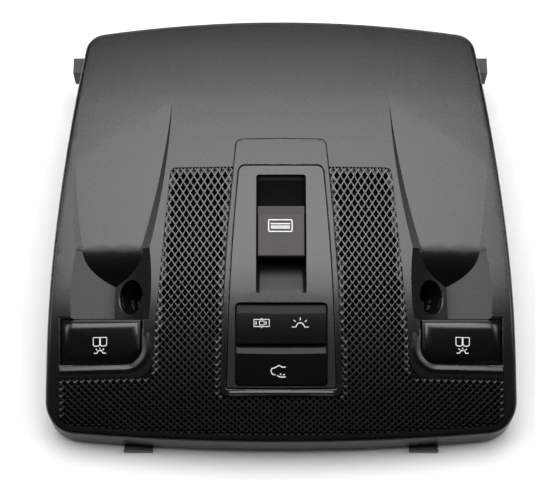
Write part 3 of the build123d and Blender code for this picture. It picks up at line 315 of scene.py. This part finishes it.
def moulded_rim(path, profile, side):
    """A low rounded rim of the bezel, mirrored for side -1. The path gives its inner edge as x, y, the way
    out and the share of full height. The profile goes outward, in millimetres out and up from the face."""
    points = []
    for x, y, out_x, out_y, share in path:
        sunk = 0.0002 * (1 - share)
        for away, rise in profile:
            place_x = x + out_x * away / 1000
            place_y = y + out_y * away / 1000
            height = face_height(place_x, place_y) + min(rise, rise * share) / 1000
            points.append((side * place_x, place_y, height - sunk))
    width = len(profile)
    faces = []
    for row in range(len(path) - 1):
        for column in range(width - 1):
            first = row * width + column
            faces.append((first, first + 1, first + width + 1, first + width)[::-side])
    mesh = bpy.data.meshes.new("moulded_rim")
    mesh.from_pydata(points, [], faces)
    rim = bpy.data.objects.new("moulded_rim", mesh)
    bpy.context.scene.collection.objects.link(rim)
    finished(rim, bezel_plastic)
    bpy.ops.object.select_all(action="DESELECT")
    rim.select_set(True)
    bpy.context.view_layer.objects.active = rim
    bpy.ops.object.shade_smooth_by_angle(angle=math.radians(40))
    bezel.select_set(True)
    bpy.context.view_layer.objects.active = bezel
    bpy.ops.object.join()


# The rim of a reading button's opening runs along its front, round a corner and up its inner side.
deck_x = 0.0855
deck_y = -0.05167
deck_tilt = math.radians(20)
corner_u = -0.0115
corner_v = -0.0029
corner_radius = 0.0079
button_path = [(0.0198 - 0.0313 * step / 12, corner_v - corner_radius, 0, -1) for step in range(12)]
for step in range(11):
    turn = math.radians(-90 - 9 * step)
    out_u = math.cos(turn)
    out_v = math.sin(turn)
    button_path.append((corner_u + corner_radius * out_u, corner_v + corner_radius * out_v, out_u, out_v))
button_path += [(corner_u - corner_radius, corner_v + 0.0009 * step, -1, 0) for step in range(1, 11)]
button_rim = []
for number, (u, v, out_u, out_v) in enumerate(button_path):
    share = min(1, (len(button_path) - 1 - number) / 12)
    flat = math.cos(deck_tilt)
    button_rim.append((deck_x + u, deck_y + v * flat, out_u, out_v * flat, share))
button_profile = [
    (0, -0.8), (0.1, -0.15), (0.4, 0.08), (2.4, 0.75), (2.8, 0.82), (3.3, 0.72), (4.3, 0.2), (4.9, -0.3),
]
moulded_rim(button_rim, button_profile, 1)
moulded_rim(button_rim, button_profile, -1)

# The rim of the centre frame runs along its front and dies away round both corners.
frame_corner_x = 0.0236
frame_corner_y = -0.0718
frame_corner_radius = 0.0024
right_end = []
for step in range(8):
    turn = math.radians(11.25 * step)
    out_x = math.cos(turn)
    out_y = -math.sin(turn)
    rim_x = frame_corner_x + frame_corner_radius * out_x
    rim_y = frame_corner_y + frame_corner_radius * out_y
    right_end.append((rim_x, rim_y, out_x, out_y, step / 7))
rim_front = frame_corner_y - frame_corner_radius
straight = [(frame_corner_x * (1 - step / 7), rim_front, 0, -1, 1) for step in range(15)]
left_end = [(-x, y, -out_x, out_y, share) for x, y, out_x, out_y, share in reversed(right_end)]
frame_profile = [(0, 0.5), (0.1, 1.2), (0.25, 1.55), (1.25, 1.95), (1.5, 1.97), (1.8, 1.8), (2.3, 0.9)]
moulded_rim(right_end + straight + left_end, frame_profile, 1)

# Grille insert: a charcoal moulding of staggered diamond cells, open in the middle of each field and blind
# along the edges.
# The open cells are drawn as deep pockets whose floors are painted near black as painted shade. It lies in a
# recess of the bezel, heat-staked from behind.
grille_rear = 0.0324
band_rear = -0.0673
band_side = 0.1061
column_side = 0.0615
frame_front = -0.0765


def grille_side(y):
    """Half width of the grille at y: the columns' outer edge, and the band in front of them."""
    if y < band_rear:
        return band_side
    narrowing = column_side - 0.0536
    column_length = 0.0997
    return column_side - narrowing * (y - band_rear) / column_length


def frame_side(y):
    """Half width of the raised centre frame at y: it narrows to the rear, and its sides bow a little."""
    front_side = 0.0289
    rear_side = 0.022
    frame_length = 0.1235
    bow = 0.0012
    along = (y - frame_front) / frame_length
    return front_side + (rear_side - front_side) * along + bow * 4 * along * (1 - along)


def front_line(x):
    """Where the grille ends along the front edge, which is a shallow arc."""
    arc_radius = 0.93
    return -0.0935 + x * x / (2 * arc_radius)


def kept(x, y):
    """The nearest place to x, y that lies in the grille's outline."""
    side = 1 if x > 0 else -1
    y = min(y, grille_rear)
    if y > frame_front and abs(x) < frame_side(y):
        if y - frame_front < frame_side(y) - abs(x):
            y = frame_front
        else:
            x = side * frame_side(y)
    x = side * min(abs(x), grille_side(y))
    y = max(y, front_line(x))
    return x, y


def into_outline(x, y):
    """How far x, y lies inside the grille's outline."""
    gaps = [grille_rear - y, y - front_line(x)]
    if y > frame_front:
        gaps.append(abs(x) - frame_side(y))
    if y > band_rear:
        gaps.append(grille_side(y) - abs(x))
    else:
        gaps.append(band_side - abs(x))
        if abs(x) > column_side:
            gaps.append(band_rear - y)
    return min(gaps)


def grille_cell(rings):
    """One diamond cell: its ribs dip between the crossings, and rings of it step down into the hole."""
    bpy.ops.object.select_all(action="DESELECT")
    bpy.ops.mesh.primitive_circle_add(vertices=4, radius=1, fill_type="NOTHING")
    cell = bpy.context.object
    bpy.ops.object.mode_set(mode="EDIT")
    bpy.ops.mesh.select_all(action="SELECT")
    bpy.ops.mesh.subdivide(number_cuts=1)
    bpy.ops.mesh.edge_face_add()
    for thickness, depth in rings:
        bpy.ops.mesh.inset(thickness=thickness, depth=depth)
    bpy.ops.object.mode_set(mode="OBJECT")
    facing = 1 if cell.data.polygons[-1].center.z < 0 else -1
    rib_dip = 0.08
    corners = []
    for vertex in cell.data.vertices:
        x, y, z = vertex.co
        between = abs(abs(x) - abs(y)) < 0.3 * (abs(x) + abs(y))
        corners.append((x, y, facing * z - (rib_dip if between else 0)))
    sides = [tuple(polygon.vertices) for polygon in cell.data.polygons]
    bpy.data.objects.remove(cell)
    return corners, sides


open_cell = grille_cell([(0.08, -0.01), (0.09, -0.06), (0.05, -0.16), (0.02, -0.55)])
border_cell = grille_cell([(0.12, -0.02), (0.38, -0.2)])
front_cell = grille_cell([(0.12, -0.02), (0.3, -0.32)])
cell_width = 0.00338
cell_depth = 0.0017
border_width = 0.0022
overhang = 0.0009
sunk = 0.0002
hollow_level = -0.22
half_count = 34
points = []
faces = []
hollow = []
row = 0
row_y = 0.034
while row_y > -0.0975:
    slope = front_slope
    if row_y >= slope_rear:
        slope = math.asin(max(0.0, min(1.0, (0.0115 - row_y) / bend_radius)))
    half_length = (0.0051 + 0.0255 * row_y) / 2 * math.cos(slope)
    for column in range(-half_count, half_count + 1):
        x = (column + 0.5 * (row % 2)) * cell_width
        inside = into_outline(x, row_y)
        if inside < -overhang:
            continue
        corners, sides = open_cell
        if inside < border_width:
            corners, sides = front_cell if row_y - front_line(x) < border_width else border_cell
        first = len(points)
        for across, along, level in corners:
            cell_x, cell_y = kept(x + across * cell_width / 2, row_y + along * half_length)
            points.append((cell_x, cell_y, face_height(cell_x, cell_y) - sunk + level * cell_depth))
        for side in sides:
            faces.append([first + index for index in side])
            hollow.append(sum(corners[index][2] for index in side) / len(side) < hollow_level)
    row_y -= half_length
    row += 1
grille_mesh = bpy.data.meshes.new("grille_lattice")
grille_mesh.from_pydata(points, [], faces)
grille = bpy.data.objects.new("grille_lattice", grille_mesh)
bpy.context.scene.collection.objects.link(grille)
grille_plastic = Finish("grille_plastic", specular_ior_level=0.3, coat_roughness=0.27)
rib_grain = grille_plastic.place.noise(0.0004, 3)
# Painted light: the ribs are lighter and coated toward the rear and darker toward the front band, following
# where the light falls on them.
rear_painted_light = grille_plastic.place.axis(1).between(-0.085, -0.03)
grille_plastic.set(
    base_color=(rear_painted_light + 0.1 * rib_grain).blend(grey(0.0012), grey(0.007)),
    roughness=0.21 + 0.12 * rib_grain,
    coat_weight=0.95 * rear_painted_light,
    normal=rib_grain.relief(0.000006),
)
# Painted shade: the deep floors of the open cells get a near-black, barely shiny plastic in place of the
# shade in the holes.
hollow_painted_shade = moulded(
    "grille_hollow_painted_shade", dark=grey(0.0008), light=grey(0.0016), roughness=0.7, grain=0.0005, depth=0.000006,
    specular_ior_level=0.02,
)
grille_mesh.materials.append(grille_plastic.material)
grille_mesh.materials.append(hollow_painted_shade)
for polygon, deep in zip(grille_mesh.polygons, hollow):
    polygon.material_index = 1 if deep else 0
bpy.ops.object.select_all(action="DESELECT")
grille.select_set(True)
bpy.context.view_layer.objects.active = grille
bpy.ops.object.mode_set(mode="EDIT")
bpy.ops.mesh.select_all(action="SELECT")
bpy.ops.mesh.remove_doubles(threshold=2e-5)
bpy.ops.mesh.dissolve_degenerate(threshold=1e-6)
bpy.ops.mesh.normals_make_consistent(inside=False)
bpy.ops.object.mode_set(mode="OBJECT")
if sum(polygon.normal.z * polygon.area for polygon in grille_mesh.polygons) < 0:
    grille_mesh.flip_normals()
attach(grille, "unit")
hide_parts("grille_insert")

# Switch plate: the smooth grey plate in the centre frame, with the slot and the button opening.
# It is clipped into the frame and carries the switches.
plate_plastic = moulded(
    "plate_plastic", dark=grey(0.014), light=grey(0.019), roughness=0.28, grain=0.0005, depth=0.000012
)
smooth_copy("switch_plate", "unit", plate_plastic)

# Roof switch: a matt grey cap that rocks in a trough under the slot, both moulded in plastic; the trough's
# colour is painted light and shade.
# The cap turns on a steel pin across the trough, and its rear slope has a shallow recess for a fingertip.
cradle_painted_light = Finish("cradle_painted_light", specular_ior_level=0.2)
cradle_grain = cradle_painted_light.place.noise(0.0006, 2)
along_slot = cradle_painted_light.place.axis(1)
across_slot = cradle_painted_light.place.axis(0)
beside = across_slot.node("ShaderNodeMath", {"operation": "ABSOLUTE"}, {0: across_slot})
# Painted light and shade: the front floor of the trough is painted light grey, and its rear part, side walls
# and front wall near black.
shaded_rear = along_slot.between(-0.022, -0.014)
shaded_side_walls = beside.between(0.0098, 0.0108)
shaded_front_wall = 1 - along_slot.between(-0.0312, -0.0300)
painted_shade = shaded_rear + shaded_side_walls + shaded_front_wall
cradle_painted_light.set(
    base_color=(painted_shade + 0.1 * cradle_grain).blend(grey(0.07), grey(0.0008)),
    roughness=0.55 + 0.2 * painted_shade,
    normal=cradle_grain.relief(0.00001),
)
smooth_copy("roof_switch_cradle", "unit", cradle_painted_light.material)
cap_plastic = moulded(
    "cap_plastic", dark=grey(0.048, 0.07), light=grey(0.054, 0.07), roughness=0.6, grain=0.0005,
    depth=0.000008, specular_ior_level=0.3,
)
roof_cap = smooth_copy("roof_switch_cap", "roof_switch", cap_plastic)
bpy.ops.object.mode_set(mode="EDIT")
bpy.ops.mesh.select_mode(type="FACE")
bpy.ops.mesh.select_all(action="DESELECT")
bpy.ops.object.mode_set(mode="OBJECT")
for polygon in roof_cap.data.polygons:
    on_rear_slope = polygon.normal.z > 0.9 and polygon.normal.y > 0.3
    polygon.select = polygon.center.y > 0.008 and on_rear_slope
bpy.ops.object.mode_set(mode="EDIT")
bpy.ops.mesh.inset(thickness=0.0006, depth=-0.00025)
bpy.ops.mesh.select_mode(type="VERT")
bpy.ops.object.mode_set(mode="OBJECT")

# Buttons: glossy black plastic caps with a bevel along the rear edge and white printed pictograms.
# Each clips over its plunger, and the twin rocker tips on a pin under its middle.
button_plastic = moulded(
    "button_plastic", dark=grey(0.0008), light=grey(0.0014), roughness=0.22, grain=0.0004, depth=0.000004
)
print_white = Finish("print_white")
ink = print_white.place.noise(0.0005, 2)
print_white.set(base_color=ink.blend(grey(0.72), grey(0.82)), roughness=0.45 + 0.1 * ink)
twin = smooth_copy("twin_rocker_button", "twin_rocker", button_plastic)
rear_cap = smooth_copy("rear_light_button", "rear_light", button_plastic)


def reading_cap(node, body, side):
    """A reading lamp cap: a slab with a broad bevel all round, on the hollow skirt of the button."""
    origin = Vector((side * deck_x, deck_y, face_height(deck_x, deck_y)))
    along = Vector((0, math.cos(deck_tilt), math.sin(deck_tilt)))
    out = Vector((0, -math.sin(deck_tilt), math.cos(deck_tilt)))
    skirt_top = -0.00305
    slab_bottom = -0.0031
    slab_height = 0.002
    above_face = 0.0005
    cap_width = 0.038
    cap_length = 0.0208
    bevel_steps = ((0.3, 0.26), (0.8, 0.48), (0.9, 0.52), (0.7, 0.2), (0.9, 0.15), (0.9, 0.05))
    skirt = smooth_copy(node, body, button_plastic)
    bpy.ops.object.mode_set(mode="EDIT")
    bpy.ops.mesh.select_all(action="SELECT")
    bpy.ops.mesh.bisect(plane_co=origin + skirt_top * out, plane_no=out, clear_outer=True)
    bpy.ops.object.mode_set(mode="OBJECT")
    bpy.ops.object.select_all(action="DESELECT")
    bpy.ops.mesh.primitive_plane_add(size=1)
    cap = bpy.context.object
    cap.scale = (cap_width, cap_length, 1)
    bpy.ops.object.transform_apply(location=False, rotation=False, scale=True)
    for place_x, place_y, radius in ((-side, -1, 0.0075), (side, 1, 0.0055)):
        corner = Vector((place_x * cap_width / 2, place_y * cap_length / 2))
        bpy.ops.object.mode_set(mode="EDIT")
        bpy.ops.mesh.select_all(action="DESELECT")
        bpy.ops.object.mode_set(mode="OBJECT")
        for vertex in cap.data.vertices:
            vertex.select = (vertex.co.xy - corner).length < 1e-5
        bpy.ops.object.mode_set(mode="EDIT")
        bpy.ops.mesh.bevel(affect="VERTICES", offset=radius, segments=8)
        bpy.ops.object.mode_set(mode="OBJECT")
    bpy.ops.object.mode_set(mode="EDIT")
    bpy.ops.mesh.select_all(action="SELECT")
    bpy.ops.mesh.extrude_region_move(TRANSFORM_OT_translate={"value": (0, 0, slab_height)})
    for inward, up in bevel_steps:
        bpy.ops.mesh.inset(thickness=inward / 1000, depth=up / 1000)
    bpy.ops.mesh.select_all(action="SELECT")
    bpy.ops.mesh.normals_make_consistent(inside=False)
    bpy.ops.object.mode_set(mode="OBJECT")
    slab_top = max(vertex.co.z for vertex in cap.data.vertices)
    for vertex in cap.data.vertices:
        place = origin + Vector((vertex.co.x, 0, 0)) + vertex.co.y * along
        height = slab_bottom
        if vertex.co.z > slab_height / 2:
            top = (face_height(place.x, place.y) + above_face - place.z) * out.z
            height = top + vertex.co.z - slab_top
        vertex.co = place + height * out
    bpy.ops.object.shade_smooth_by_angle(angle=math.radians(28))
    finished(cap, button_plastic)
    skirt.select_set(True)
    bpy.context.view_layer.objects.active = skirt
    bpy.ops.object.join()
    return skirt


left_cap = reading_cap("left_reading_button", "left_reading", -1)
right_cap = reading_cap("right_reading_button", "right_reading", 1)


def printed(name, lines, centre, width, cap, body):
    """A pictogram of thin flat lines, in millimetres round its centre, laid on the top of a cap."""
    curve = bpy.data.curves.new(name, "CURVE")
    curve.dimensions = "3D"
    curve.bevel_depth = width / 2000
    curve.bevel_resolution = 2
    curve.use_fill_caps = True
    for line in lines:
        closed = line[0] == line[-1]
        corners = line[:-1] if closed else line
        spline = curve.splines.new("POLY")
        spline.points.add(len(corners) - 1)
        spline.use_cyclic_u = closed
        for point, (x, y) in zip(spline.points, corners):
            point.co = (centre[0] / 1000 + x / 1000, centre[1] / 1000 + y / 1000, 0, 1)
    piece = bpy.data.objects.new(name, curve)
    bpy.context.scene.collection.objects.link(piece)
    bpy.ops.object.select_all(action="DESELECT")
    piece.select_set(True)
    bpy.context.view_layer.objects.active = piece
    bpy.ops.object.convert(target="MESH")
    piece = bpy.context.object
    gap = 0.00001
    flattening = 0.15
    for vertex in piece.data.vertices:
        above = Vector((vertex.co.x, vertex.co.y, 0.2))
        landing = cap.ray_cast(above, Vector((0, 0, -1)))[1]
        vertex.co.z = landing.z + gap + max(vertex.co.z, -0.00002) * flattening
    finished(piece, print_white.material)
    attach(piece, body)


def arc(centre, radius, start, end, steps):
    """Points on an arc, with its angles in degrees."""
    turns = [math.radians(start + (end - start) * step / steps) for step in range(steps + 1)]
    return [(centre[0] + radius * math.cos(turn), centre[1] + radius * math.sin(turn)) for turn in turns]


book = [
    [(-3.2, 2.6), (-0.2, 2.6), (-0.2, -0.6), (-0.8, -1.2), (-2.6, -1.2), (-3.2, -0.6), (-3.2, 2.6)],
    [(3.2, 2.6), (0.2, 2.6), (0.2, -0.6), (0.8, -1.2), (2.6, -1.2), (3.2, -0.6), (3.2, 2.6)],
]
lamp_under = [
    [(-2.8, -4.4), (-1.5, -4.4), *arc((0, -4.4), 1.3, 160, 20, 6), (1.5, -4.4), (2.8, -4.4)],
    [(0, -2.6), (0, -1.9)],
    [(-1.3, -3.0), (-1.9, -2.4)],
    [(1.3, -3.0), (1.9, -2.4)],
]
reading = book + lamp_under
printed("left_reading_print", reading, centre=(-86.0, -52.4), width=0.45, cap=left_cap, body="left_reading")
printed("right_reading_print", reading, centre=(86.0, -52.4), width=0.45, cap=right_cap, body="right_reading")
dome_lamp = [
    [(-3.9, -1.4), (-2.0, -1.4), *arc((0, -1.4), 1.9, 165, 15, 8), (2.0, -1.4), (3.9, -1.4)],
    [(0, 1.6), (0, 2.8)],
    [(-2.2, 0.9), (-3.1, 1.7)],
    [(2.2, 0.9), (3.1, 1.7)],
]
printed("dome_lamp_print", dome_lamp, centre=(8.9, -45.2), width=0.42, cap=twin, body="twin_rocker")
cabin = [
    [(-3.6, 1.6), (3.6, 1.6), (3.6, -1.6), (-3.6, -1.6), (-3.6, 1.6)],
    [(-2.6, 0.8), (-2.6, -0.8)],
    [(-1.0, 0.9), (1.2, 0.9), (1.2, -0.9), (-1.0, -0.9), (-1.0, 0.9)],
    [(2.1, 0.8), (2.1, -0.8)],
    [(0, 1.6), (0, 2.2)],
    [(0, -1.6), (0, -2.2)],
]
printed("cabin_print", cabin, centre=(-9.3, -44.8), width=0.45, cap=twin, body="twin_rocker")
rear_seat = [
    [(3.4, 1.9), (1.8, 1.9), (0.3, 2.7), (-1.4, 1.7), (-3.0, 1.4), (-3.5, 0.2), (-2.9, -1.1), (-1.4, -1.5)],
    [(-0.6, -1.7), (0.6, -2.4), (3.4, -2.4)],
    [(0.9, -1.5), (1.2, -0.8)],
    [(2.2, -1.6), (3.0, -1.2)],
]
printed("rear_light_print", rear_seat, centre=(-1.4, -66.2), width=0.45, cap=rear_cap, body="rear_light")
right_half = [(5.2, 2.9), (5.6, 2.5), (5.6, -2.5), (5.2, -2.9)]
left_half = [(-x, -y) for x, y in right_half]
roof_glass = [
    [(-5.2, 2.9), *right_half, *left_half],
    [(-4.6, 0.9), (4.6, 0.9)],
    [(-4.6, -0.3), (4.6, -0.3)],
    [(-4.6, -1.2), (4.6, -1.2)],
]
printed("roof_glass_print", roof_glass, centre=(-0.4, 1.2), width=0.6, cap=roof_cap, body="roof_switch")

# Studio: a plain pale paper floor that the unit lies on, with four soft boxes over it and round it.
# The camera looks down on the face from the front, and it alone sees a white backdrop.
bpy.ops.mesh.primitive_plane_add(size=6)
floor = bpy.context.object
floor.name = "studio_floor"
paper = Finish("studio_paper", roughness=0.9)
paper.set(base_color=paper.place.noise(0.3, 1).blend(grey(0.80), grey(0.81)))
finished(floor, paper.material)


def softbox(name, place, aim, width, depth, power):
    """A rectangular light at a place, turned to shine at another."""
    light = bpy.data.lights.new(name, "AREA")
    light.shape = "RECTANGLE"
    light.size = width
    light.size_y = depth
    light.energy = power
    lamp = bpy.data.objects.new(name, light)
    lamp.location = place
    lamp.rotation_euler = (Vector(aim) - Vector(place)).to_track_quat("-Z", "Y").to_euler()
    bpy.context.scene.collection.objects.link(lamp)


softbox("overhead_softbox", (0, 0.255, 1.13), (0, 0.06, 0.03), width=1.05, depth=0.84, power=16.0)
softbox("rear_softbox", (0, 1.05, 0.62), (0, 0.0, 0.03), width=1.4, depth=0.5, power=5.0)
softbox("left_softbox", (-0.95, 0.1, 0.8), (0, 0, 0), width=0.8, depth=0.6, power=5.0)
softbox("right_softbox", (0.95, 0.1, 0.8), (0, 0, 0), width=0.8, depth=0.6, power=5.0)
world = bpy.data.worlds.new("studio_world")
bpy.context.scene.world = world
world.use_nodes = True
sky = world.node_tree.nodes["Background"]
seen = Wire(world.node_tree.nodes.new("ShaderNodeLightPath").outputs["Is Camera Ray"])
world.node_tree.links.new(seen.blend(grey(0.02), grey(1.0)).socket, sky.inputs["Color"])

camera_data = bpy.data.cameras.new("studio_camera")
camera_data.lens = 104.64
camera_data.sensor_width = 36
camera = bpy.data.objects.new("studio_camera", camera_data)
camera.location = (-0.0063, -0.2837, 0.73866)
camera.rotation_euler = (math.radians(22), 0, 0)
bpy.context.scene.collection.objects.link(camera)
bpy.context.scene.camera = camera
bpy.context.scene.view_settings.view_transform = "Standard"
